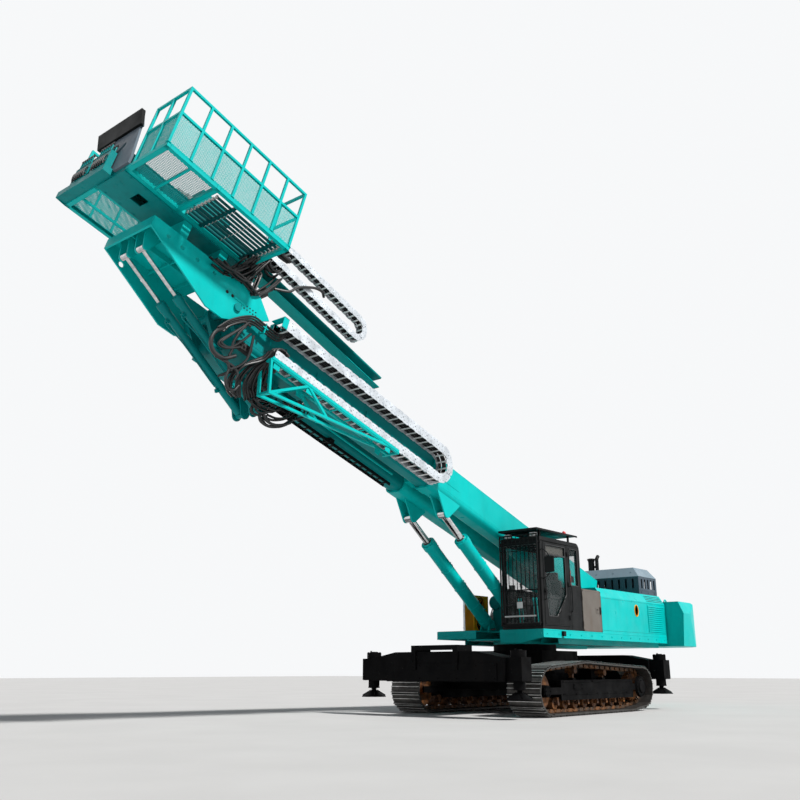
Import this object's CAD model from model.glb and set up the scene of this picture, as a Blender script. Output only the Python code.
"""Looks of the anchor drilling rig. Metres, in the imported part's frame."""
import bmesh
import bpy
from itertools import product
from math import atan2, cos, pi, radians, sin, sqrt
from mathutils import Euler, Matrix, Vector


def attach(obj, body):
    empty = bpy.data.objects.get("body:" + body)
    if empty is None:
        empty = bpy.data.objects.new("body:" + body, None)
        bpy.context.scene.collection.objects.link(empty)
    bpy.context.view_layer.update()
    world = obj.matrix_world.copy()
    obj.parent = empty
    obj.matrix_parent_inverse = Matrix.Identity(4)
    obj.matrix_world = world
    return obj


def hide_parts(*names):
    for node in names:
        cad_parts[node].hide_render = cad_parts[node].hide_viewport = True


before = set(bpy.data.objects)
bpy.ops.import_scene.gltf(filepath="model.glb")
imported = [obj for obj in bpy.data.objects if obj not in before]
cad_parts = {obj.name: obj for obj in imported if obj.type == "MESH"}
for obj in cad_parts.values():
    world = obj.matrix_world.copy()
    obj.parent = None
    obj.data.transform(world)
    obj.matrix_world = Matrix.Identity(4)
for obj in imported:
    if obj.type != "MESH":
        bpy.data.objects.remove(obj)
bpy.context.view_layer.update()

# The machine's own zero lies behind the part's middle; the booms have a frame of their own, along them
SHIFT = -2.5315
BOOM_Z = 3.96
LEAN = radians(17.0)
MACHINE = Matrix.Translation((SHIFT, 0, 0))
BOOM = Matrix.Translation((SHIFT, 0, BOOM_Z)) @ Matrix.Rotation(-LEAN, 4, "Y")
UP, DOWN, AHEAD, LEFT = (0, 0, 1), (0, 0, -1), (1, 0, 0), (0, 1, 0)
BOTH = (1, -1)
SIDES = (("left", 1), ("right", -1))


# Materials: every one is made from nodes
def link(tree, a, b):
    tree.links.new(a, b)


def grey(level):
    return (level,) * 3


def noise_node(tree, scale, detail, rough=0.55, stretch=(1, 1, 1)):
    place = tree.nodes.new("ShaderNodeTexCoord")
    shape = tree.nodes.new("ShaderNodeMapping")
    shape.inputs["Scale"].default_value = stretch
    grain = tree.nodes.new("ShaderNodeTexNoise")
    for key, value in (("Scale", scale), ("Detail", detail), ("Roughness", rough)):
        grain.inputs[key].default_value = value
    link(tree, place.outputs["Object"], shape.inputs["Vector"])
    link(tree, shape.outputs["Vector"], grain.inputs["Vector"])
    return grain.outputs["Fac"]


def ramp(tree, source, low, high, a=grey(0), b=grey(1)):
    node = tree.nodes.new("ShaderNodeValToRGB")
    for stop, place, colour in zip(node.color_ramp.elements, (low, high), (a, b)):
        stop.position = place
        stop.color = (*colour, 1)
    link(tree, source, node.inputs["Fac"])
    return node.outputs["Color"]


def mix(tree, amount, a, b):
    node = tree.nodes.new("ShaderNodeMix")
    node.data_type = "RGBA"
    link(tree, amount, node.inputs[0])
    for socket, value in ((node.inputs[6], a), (node.inputs[7], b)):
        if isinstance(value, tuple):
            socket.default_value = (*value, 1)
        else:
            link(tree, value, socket)
    return node.outputs[2]


def bump(tree, out, source, strength, distance):
    node = tree.nodes.new("ShaderNodeBump")
    node.inputs["Strength"].default_value = strength
    node.inputs["Distance"].default_value = distance
    link(tree, source, node.inputs["Height"])
    link(tree, node.outputs["Normal"], out.inputs["Normal"])


def start(name):
    material = bpy.data.materials.new(name)
    material.use_nodes = True
    return material, material.node_tree, material.node_tree.nodes["Principled BSDF"]


def paint(name, colour, grime, rough, dirt, chips=0.0, shine=0.14, coat=0.0):
    """Sprayed steel: orange-peel bump, clouds of dust, streaks that run down and a few chips."""
    material, tree, out = start(name)
    deep = tuple(c * 0.8 for c in colour)
    body = mix(tree, ramp(tree, noise_node(tree, 0.7, 5.0), 0.3, 0.72), deep, colour)
    streaks = ramp(tree, noise_node(tree, 2.2, 6.0, 0.65, (2.2, 2.2, 0.35)), 0.52, 0.78, b=grey(dirt))
    body = mix(tree, streaks, body, grime)
    if chips:
        marks = ramp(tree, noise_node(tree, 9.0, 8.0, 0.72), 0.655, 0.675, b=grey(chips))
        body = mix(tree, marks, body, (0.22, 0.19, 0.17))
    link(tree, body, out.inputs["Base Color"])
    worn = ramp(tree, noise_node(tree, 3.0, 5.0), 0.3, 0.75, grey(rough * 0.75), grey(min(1, rough * 1.7)))
    link(tree, worn, out.inputs["Roughness"])
    out.inputs["Specular IOR Level"].default_value = shine
    out.inputs["Coat Weight"].default_value = coat
    out.inputs["Coat Roughness"].default_value = 0.18
    bump(tree, out, noise_node(tree, 55.0, 3.0), 0.1, 0.002)
    return material


def metal(name, colour, rough, scale, depth, rust=0.0, rusted=grey(0), bare=1.0, grain=(1, 1, 1)):
    """Bare metal with grain, worn spots and rust."""
    material, tree, out = start(name)
    dark = tuple(c * 0.62 for c in colour)
    body = mix(tree, ramp(tree, noise_node(tree, scale * 0.3, 6.0), 0.35, 0.7), dark, colour)
    if rust:
        spots = ramp(tree, noise_node(tree, 5.0, 8.0, 0.7), 0.42, 0.66, b=grey(rust))
        body = mix(tree, spots, body, rusted)
    link(tree, body, out.inputs["Base Color"])
    worn = ramp(tree, noise_node(tree, scale, 5.0, 0.6, grain), 0.3, 0.75, grey(rough * 0.7),
                grey(min(1, rough * 1.5)))
    link(tree, worn, out.inputs["Roughness"])
    out.inputs["Metallic"].default_value = bare - 0.6 * rust
    bump(tree, out, noise_node(tree, scale * 2.5, 5.0, 0.6, grain), depth, 0.003)
    return material


def rubber(name, colour, rough):
    """Rubber or vinyl, paler where it is dusty."""
    material, tree, out = start(name)
    dusty = tuple(min(1, c * 2.2 + 0.008) for c in colour)
    body = mix(tree, ramp(tree, noise_node(tree, 4.0, 6.0), 0.35, 0.75), colour, dusty)
    link(tree, body, out.inputs["Base Color"])
    out.inputs["Roughness"].default_value = rough
    bump(tree, out, noise_node(tree, 70.0, 3.0), 0.3, 0.002)
    return material


def clear(name, colour, alpha, rough=0.03):
    """A tinted pane or lens: part clear, part dark, with faint smears."""
    material, tree, out = start(name)
    out.inputs["Base Color"].default_value = (*colour, 1)
    out.inputs["IOR"].default_value = 1.5
    smears = ramp(tree, noise_node(tree, 3.0, 4.0), 0.4, 0.7, grey(rough), grey(rough * 3.5))
    link(tree, smears, out.inputs["Roughness"])
    out.inputs["Alpha"].default_value = alpha
    out.inputs["Coat Weight"].default_value = 0.4
    return material


# Paints by colour, grime, roughness and dirt, then chips, shine and coat where they aren't usual
PAINTS = {
    "teal": ((0.0, 0.57, 0.55), (0.01, 0.2, 0.19), 0.34, 0.22),
    "teal_deep": ((0.0, 0.28, 0.285), (0.005, 0.05, 0.05), 0.34, 0.35),
    "teal_night": ((0.0, 0.085, 0.092), (0.005, 0.02, 0.02), 0.36, 0.4),
    "black": ((0.002, 0.002, 0.0023), (0.012, 0.01, 0.009), 0.5, 0.4, 0.12, 0.05),
    "cab": ((0.006, 0.007, 0.0075), (0.03, 0.032, 0.034), 0.38, 0.2, 0.0, 0.12),
    "box_grey": ((0.16, 0.145, 0.13), (0.1, 0.06, 0.04), 0.5, 0.35, 0.4, 0.14, 0.05),
    "slate": ((0.055, 0.085, 0.115), (0.1, 0.1, 0.1), 0.42, 0.3, 0.0, 0.14, 0.1),
    "slate_light": ((0.22, 0.3, 0.36), (0.12, 0.12, 0.12), 0.5, 0.3, 0.0, 0.14, 0.05),
    "orange": ((1.0, 0.4, 0.012), (0.45, 0.15, 0.02), 0.38, 0.2),
    "console": ((0.15, 0.19, 0.23), (0.05, 0.05, 0.05), 0.4, 0.25),
    "white": ((0.86, 0.88, 0.88), (0.45, 0.45, 0.43), 0.35, 0.15),
    "red": ((0.55, 0.018, 0.012), (0.15, 0.02, 0.02), 0.25, 0.15, 0.0, 0.14, 0.6),
}
# Metals by colour, roughness, the grain's scale and depth, then rust and its colour, bare share and grain
METALS = {
    "shoe": ((0.1, 0.098, 0.094), 0.5, 30.0, 0.5, 0.3, (0.05, 0.035, 0.025)),
    "ridge": ((0.8, 0.8, 0.79), 0.4, 30.0, 0.4, 0.1, (0.25, 0.17, 0.1), 0.8),
    "link": ((0.1, 0.07, 0.05), 0.55, 26.0, 0.5, 0.85, (0.3, 0.115, 0.03)),
    "rust": ((0.1, 0.05, 0.03), 0.6, 22.0, 0.5, 0.85, (0.38, 0.145, 0.035)),
    "iron": ((0.07, 0.07, 0.07), 0.6, 25.0, 0.4, 0.2, (0.05, 0.03, 0.02)),
    "steel": ((0.48, 0.48, 0.47), 0.32, 40.0, 0.1, 0.08, (0.28, 0.12, 0.05), 1.0, (1, 6, 1)),
    "zinc": ((0.8, 0.86, 0.92), 0.4, 14.0, 0.12, 0.0, grey(0), 0.45),
    "stud": ((0.3, 0.33, 0.36), 0.5, 25.0, 0.2, 0.0, grey(0), 0.6),
    "chrome": ((0.86, 0.87, 0.88), 0.1, 60.0, 0.02),
    "mirror": ((0.75, 0.78, 0.8), 0.05, 50.0, 0.0),
}
RUBBERS = {
    "rubber": ((0.0035, 0.0035, 0.004), 0.34),
    "sheath": ((0.006, 0.006, 0.007), 0.5),
    "seat": ((0.012, 0.012, 0.013), 0.7),
}
# Panes and lenses by colour, how far they hide what is behind them, and roughness
PANES = {
    "glass": ((0.02, 0.05, 0.05), 0.16),
    "lamp": ((0.85, 0.86, 0.86), 0.92, 0.1),
    "beacon": ((0.75, 0.012, 0.01), 0.94, 0.1),
}
M = {}
for make, table in ((paint, PAINTS), (metal, METALS), (rubber, RUBBERS), (clear, PANES)):
    M.update({name: make(name, *values) for name, values in table.items()})

# The frame's nodes by look
NODE_LOOKS = {
    "teal": "deck_frame boom_mount engine_hood counterweight boom_base lift_barrels chain_truss head_channel "
            "platform_floor platform_rails platform_mesh",
    "teal_deep": "oil_tank boom_inner boom_head tilt_barrels mast_beam lever_bank drill_head",
    "black": "lower_frame track_frame_left track_frame_right outrigger_front outrigger_rear "
             "jack_leg_front_left jack_leg_front_right jack_leg_rear_left jack_leg_rear_right",
    "cab": "cab_shell cab_guard exhaust_stack cab_door", "glass": "cab_glass cab_door_glass",
    "lamp": "cab_lamps", "beacon": "beacon", "seat": "cab_seat", "box_grey": "tool_box tool_door",
    "rust": "rollers_left rollers_right", "link": "track_left track_right", "iron": "engine_block",
    "slate": "engine_cover", "orange": "cooler", "chrome": "lift_rods tilt_rods", "steel": "drill_chuck",
    "zinc": "drag_chain upper_chain", "teal_night": "rod_rack", "console": "control_console",
}
for look, nodes in NODE_LOOKS.items():
    for node in nodes.split():
        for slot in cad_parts[node].material_slots:
            slot.material = M[look]


# Shapes
def span(middle, half):
    return middle - half, middle + half


def row(first, step, count):
    return [first + step * k for k in range(count)]


def smooth_path(points, steps):
    """A Catmull-Rom line through the points."""
    pts = [Vector(p) for p in points]
    pts = [2 * pts[0] - pts[1]] + pts + [2 * pts[-1] - pts[-2]]
    line = []
    for i in range(1, len(pts) - 2):
        a, b, c, d = pts[i - 1:i + 3]
        for s in range(steps):
            t = s / steps
            line.append(0.5 * ((2 * b) + (c - a) * t + (2 * a - 5 * b + 4 * c - d) * t * t
                               + (3 * b - a - 3 * c + d) * t ** 3))
    return line + [pts[-2]]


class Kit:
    """Gathers small solids into one piece. Points are in metres in the frame that it is given."""

    def __init__(self, name, place=MACHINE):
        self.name, self.place, self.bm = name, place, bmesh.new()

    def break_edges(self, verts, offset):
        edges = {e for v in verts for e in v.link_edges}
        bmesh.ops.bevel(self.bm, geom=list(edges), offset=offset, segments=1, affect="EDGES", profile=0.5)

    def box(self, x, y, z, bevel=0.004, turn=None):
        """A box between limits, its edges broken, turned about its centre by an Euler angle triple."""
        centre = Vector(((x[0] + x[1]) / 2, (y[0] + y[1]) / 2, (z[0] + z[1]) / 2))
        size = Vector((abs(x[1] - x[0]), abs(y[1] - y[0]), abs(z[1] - z[0])))
        shape = Matrix.Translation(centre)
        if turn:
            shape = shape @ Euler(turn).to_matrix().to_4x4()
        made = bmesh.ops.create_cube(self.bm, size=1, matrix=shape @ Matrix.Diagonal((*size, 1)))["verts"]
        if bevel:
            self.break_edges(made, min(bevel, min(size) * 0.3))

    def frame(self, x, y, z, width, bevel):
        """Four strips around a rectangle: in x and z where y is the thin way, in y and z where x is."""
        for low in (z[0], z[1] - width):
            self.box(x, y, (low, low + width), bevel)
        across = x if x[1] - x[0] > y[1] - y[0] else y
        for low in (across[0], across[1] - width):
            strip = (low, low + width)
            self.box(strip if across is x else x, strip if across is y else y, z, bevel)

    def beam(self, a, b, w, h, bevel=0.003, up=UP):
        """A square bar from a to b; w across and h along up."""
        a, b = Vector(a), Vector(b)
        along = (b - a).normalized()
        side = along.cross(Vector(up)).normalized()
        top = side.cross(along)
        shape = Matrix((along * (b - a).length, side * w, top * h)).transposed().to_4x4()
        shape.translation = (a + b) / 2
        made = bmesh.ops.create_cube(self.bm, size=1, matrix=shape)["verts"]
        self.break_edges(made, min(bevel, w * 0.3, h * 0.3))

    def bar(self, a, b, r, r2=None, sides=20):
        """A round bar or cone from a to b."""
        a, b = Vector(a), Vector(b)
        turn = (b - a).to_track_quat("Z", "Y").to_matrix().to_4x4()
        if r2 is None:
            r2 = r
        bmesh.ops.create_cone(self.bm, cap_ends=True, segments=sides, radius1=r, radius2=r2,
                              depth=(b - a).length, matrix=Matrix.Translation((a + b) / 2) @ turn)

    def rod(self, axis, at, ends, r, r2=None, sides=20):
        """A bar along x, y or z: at holds its two other places, in order, and ends its limits."""
        i = "xyz".index(axis)
        self.bar(*([*at[:i], end, *at[i:]] for end in ends), r, r2, sides)

    def bolt(self, at, normal, r=0.014, h=0.012, washer=True):
        """A hexagon head on its washer."""
        at, n = Vector(at), Vector(normal).normalized()
        if washer:
            self.bar(at - n * 0.002, at + n * 0.003, r * 1.35, sides=16)
        self.bar(at, at + n * h, r, r * 0.94, sides=6)

    def bolts(self, xs, ys, zs, *how):
        """A bolt at each combination of places; a number stands for a list of one."""
        for at in product(*(v if isinstance(v, (list, tuple)) else (v,) for v in (xs, ys, zs))):
            self.bolt(at, *how)

    def bolt_ring(self, centre, normal, radius, count, r, h=0.012, washer=True, first=0.0):
        """Bolts evenly on a circle whose normal is along x, y or z."""
        i, j = [k for k in range(3) if not normal[k]]
        for k in range(count):
            a = first + 2 * pi * k / count
            at = list(centre)
            at[i] += radius * cos(a)
            at[j] += radius * sin(a)
            self.bolt(at, normal, r, h, washer)

    def skin(self, rings, closed):
        """Faces from each ring of corners to the next."""
        for a, b in zip(rings, rings[1:] + rings[:1] if closed else rings[1:]):
            for k in range(len(a)):
                n = (k + 1) % len(a)
                self.bm.faces.new((a[k], a[n], b[n], b[k]))

    def hose(self, points, r, sides=10, steps=6, ridges=0.0, pitch=0.02):
        """A round hose on a smooth line; ridges gives it a wound cover."""
        line = smooth_path(points, steps)
        if ridges:
            dense = []
            for a, b in zip(line, line[1:]):
                n = max(1, int((b - a).length / (pitch / 3)))
                dense += [a.lerp(b, i / n) for i in range(n)]
            line = dense + [line[-1]]
        side, rings, run = None, [], 0.0
        for i, p in enumerate(line):
            ahead = (line[min(i + 1, len(line) - 1)] - line[max(i - 1, 0)]).normalized()
            if side is None:
                side = ahead.orthogonal().normalized()
            side = (side - ahead * side.dot(ahead)).normalized()
            up = ahead.cross(side)
            if i:
                run += (p - line[i - 1]).length
            rr = r * (1 + ridges * (0.5 + 0.5 * cos(2 * pi * run / pitch)))
            turns = [2 * pi * k / sides for k in range(sides)]
            rings.append([self.bm.verts.new(p + rr * (cos(t) * side + sin(t) * up)) for t in turns])
        self.skin(rings, False)
        self.bm.faces.new(rings[0][::-1])
        self.bm.faces.new(rings[-1])

    def ring(self, centre, normal, r, tube, sides=32, section=8):
        """A torus."""
        n, c = Vector(normal).normalized(), Vector(centre)
        a = n.orthogonal().normalized()
        b = n.cross(a)
        rings = []
        for i in range(sides):
            t = 2 * pi * i / sides
            out = cos(t) * a + sin(t) * b
            turns = [2 * pi * k / section for k in range(section)]
            rings.append([self.bm.verts.new(c + out * (r + tube * cos(q)) + n * tube * sin(q))
                          for q in turns])
        self.skin(rings, True)

    def plate(self, outline, thick, axis="y", bevel=0.0):
        """An outline pushed between two limits. axis y: points are (x, z); x: (y, z)."""
        def put(a, b, c):
            return (a, c, b) if axis == "y" else (c, a, b)
        low, high = ([self.bm.verts.new(put(a, b, t)) for a, b in outline] for t in thick)
        self.lid(low, high)
        if bevel:
            self.break_edges(low + high, bevel)

    def lid(self, low, high):
        """Closes the solid between two outlines with as many corners."""
        faces = [self.bm.faces.new(low), self.bm.faces.new(high[::-1])]
        for i in range(len(low)):
            n = (i + 1) % len(low)
            faces.append(self.bm.faces.new((low[i], high[i], high[n], low[n])))
        bmesh.ops.recalc_face_normals(self.bm, faces=faces)

    def sheet(self, corners, shift):
        """A thin flat sheet from its corners to the same corners shifted."""
        pts = [Vector(p) for p in corners]
        self.lid([self.bm.verts.new(p) for p in pts], [self.bm.verts.new(p + Vector(shift)) for p in pts])

    def cushion(self, centre, half, lean=0.0):
        """A crowned pad: a rounded block whose sides pull in, leaning about y."""
        power, cuts = 6, 14
        turn = Matrix.Translation(centre) @ Matrix.Rotation(lean, 4, "Y")
        pad = bmesh.new()
        bmesh.ops.create_cube(pad, size=2)
        bmesh.ops.subdivide_edges(pad, edges=pad.edges[:], cuts=cuts, use_grid_fill=True)
        for v in pad.verts:
            x, y, z = v.co
            size = (abs(x) ** power + abs(y) ** power + abs(z) ** power) ** (1 / power)
            waist = 1 - 0.035 * (1 - (z / size) ** 2)
            v.co = turn @ Vector((x / size * half[0] * waist, y / size * half[1] * waist, z / size * half[2]))
        self.take(pad, [Matrix()])

    def stamp(self, other, spots):
        self.take(other.bm, spots)

    def take(self, bm, spots):
        mesh = bpy.data.meshes.new("copied")
        bm.to_mesh(mesh)
        bm.free()
        for spot in spots:
            copy = mesh.copy()
            copy.transform(spot)
            self.bm.from_mesh(copy)
            bpy.data.meshes.remove(copy)
        bpy.data.meshes.remove(mesh)

    def done(self, body, look, replaces=()):
        """Makes the piece: it rides on a body and takes one look."""
        bmesh.ops.recalc_face_normals(self.bm, faces=self.bm.faces)
        mesh = bpy.data.meshes.new(self.name)
        self.bm.to_mesh(mesh)
        self.bm.free()
        mesh.transform(self.place)
        mesh.polygons.foreach_set("use_smooth", [True] * len(mesh.polygons))
        mesh.set_sharp_from_angle(angle=radians(32))
        piece = bpy.data.objects.new(self.name, mesh)
        bpy.context.scene.collection.objects.link(piece)
        mesh.materials.append(M[look])
        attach(piece, body)
        if replaces:
            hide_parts(*replaces)
        return piece


# Camera, floor and lights
PHOTO_SIDE, FOCAL_LENGTH, SENSOR = 800, 886.9, 36
scene = bpy.context.scene
camera = bpy.data.objects.new("camera", bpy.data.cameras.new("camera"))
scene.collection.objects.link(camera)
scene.camera = camera
camera.data.lens = FOCAL_LENGTH / PHOTO_SIDE * SENSOR
camera.data.sensor_width = SENSOR
camera.data.clip_end = 400
camera.location = (17.759 + SHIFT, 11.101, 0.874)
camera.rotation_euler = (radians(90 + 16.94), 0, radians(129.73))

REACH = 90
floor_mesh = bpy.data.meshes.new("floor")
floor_mesh.from_pydata([(-REACH, -REACH, 0), (REACH, -REACH, 0), (REACH, REACH, 0), (-REACH, REACH, 0)], [],
                       [(0, 1, 2, 3)])
floor = bpy.data.objects.new("floor", floor_mesh)
scene.collection.objects.link(floor)
ground, tree, out = start("floor")
clouds = ramp(tree, noise_node(tree, 0.5, 6.0), 0.35, 0.7)
link(tree, mix(tree, clouds, grey(0.58), grey(0.62)), out.inputs["Base Color"])
out.inputs["Roughness"].default_value = 0.85
floor_mesh.materials.append(ground)

# The sky is dim as a light and bright where the camera, a reflection or a pane shows it
world = bpy.data.worlds.new("world")
scene.world = world
world.use_nodes = True
tree = world.node_tree
lit, shown = tree.nodes["Background"], tree.nodes.new("ShaderNodeBackground")
for sky, colour, strength in ((lit, (0.84, 0.9, 1.0), 0.12), (shown, (0.93, 0.94, 0.95), 1.0)):
    sky.inputs["Color"].default_value = (*colour, 1)
    sky.inputs["Strength"].default_value = strength
rays = tree.nodes.new("ShaderNodeLightPath")
pick = tree.nodes.new("ShaderNodeMixShader")
seen = rays.outputs["Is Camera Ray"]
for kind in ("Is Glossy Ray", "Is Transmission Ray"):
    either = tree.nodes.new("ShaderNodeMath")
    either.operation = "MAXIMUM"
    link(tree, seen, either.inputs[0])
    link(tree, rays.outputs[kind], either.inputs[1])
    seen = either.outputs[0]
for i, source in enumerate((seen, lit.outputs[0], shown.outputs[0])):
    link(tree, source, pick.inputs[i])
link(tree, pick.outputs[0], tree.nodes["World Output"].inputs["Surface"])


def sun(name, towards, strength, spread, colour):
    light = bpy.data.lights.new(name, "SUN")
    light.energy, light.angle, light.color = strength, radians(spread), colour
    thing = bpy.data.objects.new(name, light)
    thing.rotation_euler = Vector(towards).to_track_quat("-Z", "Y").to_euler()
    scene.collection.objects.link(thing)


sun("key", (0.1, -0.8, -0.8), 4.3, 6, (1.0, 0.98, 0.95))
sun("fill", (-0.85, -0.2, -0.25), 0.22, 50, (0.92, 0.96, 1.0))
scene.view_settings.view_transform = "Standard"


# Tracks: a belt of links with a ribbed shoe bolted to each
def loop_line(circles, inset, count):
    """Places evenly along the hull of the wheels, as (x, z, heading)."""
    cloud = [(x + (r - inset) * cos(2 * pi * k / 360), z + (r - inset) * sin(2 * pi * k / 360))
             for x, z, r in circles for k in range(360)]
    cloud.sort()

    def turns_right(a, b, c):
        return (b[0] - a[0]) * (c[1] - a[1]) - (b[1] - a[1]) * (c[0] - a[0]) <= 0

    def half(points):
        chain = []
        for p in points:
            while len(chain) > 1 and turns_right(chain[-2], chain[-1], p):
                chain.pop()
            chain.append(p)
        return chain[:-1]
    hull = half(cloud) + half(cloud[::-1])
    lengths = [sqrt((b[0] - a[0]) ** 2 + (b[1] - a[1]) ** 2) for a, b in zip(hull, hull[1:] + hull[:1])]
    total, places, i, run = sum(lengths), [], 0, 0.0
    for k in range(count):
        goal = total * (k + 0.37) / count
        while run + lengths[i] < goal:
            run += lengths[i]
            i += 1
        a, b = hull[i], hull[(i + 1) % len(hull)]
        t = (goal - run) / lengths[i]
        places.append((a[0] + (b[0] - a[0]) * t, a[1] + (b[1] - a[1]) * t))
    headed = []
    for k, p in enumerate(places):
        a, b = places[k - 1], places[(k + 1) % count]
        headed.append((*p, atan2(b[1] - a[1], b[0] - a[0])))
    return headed, total / count


# Each wheel as (x, z, radius): idler, sprocket, rearmost roller, carrier roller
IDLER, SPROCKET = (2.01, 0.48), (-2.07, 0.52)
WHEELS = ((*IDLER, 0.48), (*SPROCKET, 0.45), (-1.45, 0.2, 0.2), (0.6, 0.81, 0.26))
SHOES, PITCH = loop_line(WHEELS, 0.036, 46)
GAUGE, SHOE_HALF = 1.472, 0.378
END = PITCH / 2
# The shoe's section, with three ribs outwards, which is down in its own frame
RIBBED = [(-END * 0.98, 0.024), (-END * 0.98, 0.006), (-END * 0.8, -0.002), (-0.05, -0.002),
          (-0.04, -0.027), (-0.028, -0.027), (-0.02, -0.002), (0.035, -0.002), (0.045, -0.027),
          (0.057, -0.027), (0.066, -0.002), (END * 0.72, -0.002), (END * 0.8, -0.028),
          (END * 0.92, -0.028), (END * 0.98, 0.004), (END * 0.98, 0.022)]
for side, s in SIDES:
    shoe, pair, ridge = Kit("shoe"), Kit("pair"), Kit("ridge")
    shoe.plate(RIBBED, (-SHOE_HALF, SHOE_HALF))
    for at, wide in ((-0.034, 0.0062), (0.051, 0.0062), (END * 0.86, 0.0055)):
        ridge.box(span(at, wide), span(0, SHOE_HALF - 0.004), (-0.029, -0.0235), 0.0015)
    shoe.bolts((-0.062, 0.018), (-0.1, -0.06, 0.06, 0.1), -0.003, DOWN, 0.012, 0.012, False)
    for y, inner in ((-0.072, -0.044), (0.072, 0.044)):
        pair.box((-END * 1.06, END * 0.3), span(y, 0.018), (0.026, 0.098), 0.006)
        pair.box((-END * 0.1, END * 1.06), span(inner, 0.018), (0.026, 0.092), 0.006)
    pair.rod("y", (END * 0.78, 0.062), (-0.098, 0.098), 0.022, sides=12)
    # The loop runs counter-clockwise seen from the left, so a shoe's down points outwards
    spots = [Matrix.Translation((x, s * GAUGE, z)) @ Matrix.Rotation(-heading, 4, "Y")
             for x, z, heading in SHOES]
    for name, one, look, gone in (("shoes", shoe, "shoe", (f"track_{side}",)), ("links", pair, "link", ()),
                                  ("ridges", ridge, "ridge", ())):
        belt = Kit(f"track_{name}_{side}")
        belt.stamp(one, spots)
        belt.done("undercarriage", look, replaces=gone)

    # Track frame: hubs of sprocket and idler, strips along its foot and top, grease cover, step, bolts
    y = s * (GAUGE + 0.26)
    trim = Kit(f"track_trim_{side}")
    trim.rod("y", SPROCKET, (y - 0.02 * s, y + 0.035 * s), 0.235, 0.215, 48)
    trim.rod("y", SPROCKET, (y + 0.03 * s, y + 0.065 * s), 0.15, 0.13, 40)
    trim.bolt_ring((SPROCKET[0], y + 0.032 * s, SPROCKET[1]), (0, s, 0), 0.19, 16, 0.015)
    trim.rod("y", IDLER, (y - 0.1 * s, y + 0.02 * s), 0.12, 0.11, 32)
    trim.bolt_ring((IDLER[0], y + 0.02 * s, IDLER[1]), (0, s, 0), 0.08, 6, 0.013)
    for z in ((0.395, 0.425), (0.64, 0.668)):
        trim.box((-1.58, 1.4), (y - 0.005, y + 0.012 * s), z, 0.003)
    trim.box((0.62, 0.98), (y, y + 0.014 * s), (0.49, 0.61), 0.004)
    trim.bolts((0.65, 0.95), y + 0.014 * s, (0.515, 0.585), (0, s, 0), 0.01)
    trim.beam((-0.2, y + 0.03 * s, 0.655), (0.22, y + 0.03 * s, 0.655), 0.02, 0.02)
    for x in (-0.19, 0.21):
        trim.beam((x, y, 0.655), (x, y + 0.035 * s, 0.655), 0.02, 0.02)
    trim.bolts(row(-1.35, 0.45, 7), y + 0.01 * s, 0.41, (0, s, 0), 0.012)
    trim.done("undercarriage", "black")


# Drag chains: overlapping link plates on both sides, cross bars and the hoses that they carry
def run_round(u0, u1, low_v, high_v, count):
    """Places along a chain, from its upper front end back round the bend to its lower front end."""
    radius, middle = (high_v - low_v) / 2, (high_v + low_v) / 2
    straight = u1 - u0
    total = 2 * straight + pi * radius
    places = []
    for k in range(count):
        s = total * (k + 0.5) / count
        if s < straight:
            places.append((u1 - s, high_v, pi))
        elif s < straight + pi * radius:
            a = (s - straight) / radius
            places.append((u0 - radius * sin(a), middle + radius * cos(a), pi + a))
        else:
            places.append((u0 + s - straight - pi * radius, low_v, 0.0))
    return places, total / count


def drag_chain(name, place, route, y, height, count, hoses, body):
    places, pitch = run_round(*route, count)
    plates, studs, bars, inside = (Kit(f"{name}_{part}", place)
                                   for part in ("plates", "studs", "bars", "hoses"))
    h, e = height / 2, pitch * 0.6
    form = [(-e, -h * 0.45), (-e * 0.82, -h * 0.88), (-e * 0.5, -h), (e * 0.5, -h), (e * 0.82, -h * 0.88),
            (e, -h * 0.45), (e, h * 0.45), (e * 0.82, h * 0.88), (e * 0.5, h), (-e * 0.5, h),
            (-e * 0.82, h * 0.88), (-e, h * 0.45)]
    spots = [Matrix.Translation((u, 0, v)) @ Matrix.Rotation(-heading, 4, "Y") for u, v, heading in places]
    for odd in (0, 1):
        one_plate, one_stud = Kit("plate"), Kit("stud")
        for face, inward in ((y[0], 1), (y[1], -1)):
            skin = face + inward * 0.008 * odd
            one_plate.plate(form, (skin + inward * 0.002, skin + inward * 0.01), "y", 0.0015)
            rivet = (skin - inward * 0.0012, skin + inward * 0.01)
            for at in product((-pitch * 0.24, pitch * 0.24), (-h * 0.46, h * 0.46)):
                one_stud.rod("y", at, rivet, h * 0.085, sides=10)
            joint = (skin - inward * 0.003, skin + inward * 0.012)
            one_stud.rod("y", (pitch * 0.5, 0), joint, h * 0.14, sides=14)
        plates.stamp(one_plate, spots[odd::2])
        studs.stamp(one_stud, spots[odd::2])
    one_bar = Kit("bar")
    for dv in (-h * 0.8, h * 0.8):
        one_bar.box(span(0, 0.016), (y[0] + 0.02, y[1] - 0.02), span(dv, 0.007), 0.002)
    bars.stamp(one_bar, spots)
    line, _ = run_round(*route, 60)
    for hy, dv, r in hoses:
        inside.hose([(a + dv * sin(-g), hy, b + dv * cos(g)) for a, b, g in line], r, sides=8, steps=2)
    plates.done(body, "zinc", replaces=(name,))
    studs.done(body, "stud")
    bars.done(body, "white")
    inside.done(body, "rubber")


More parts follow.
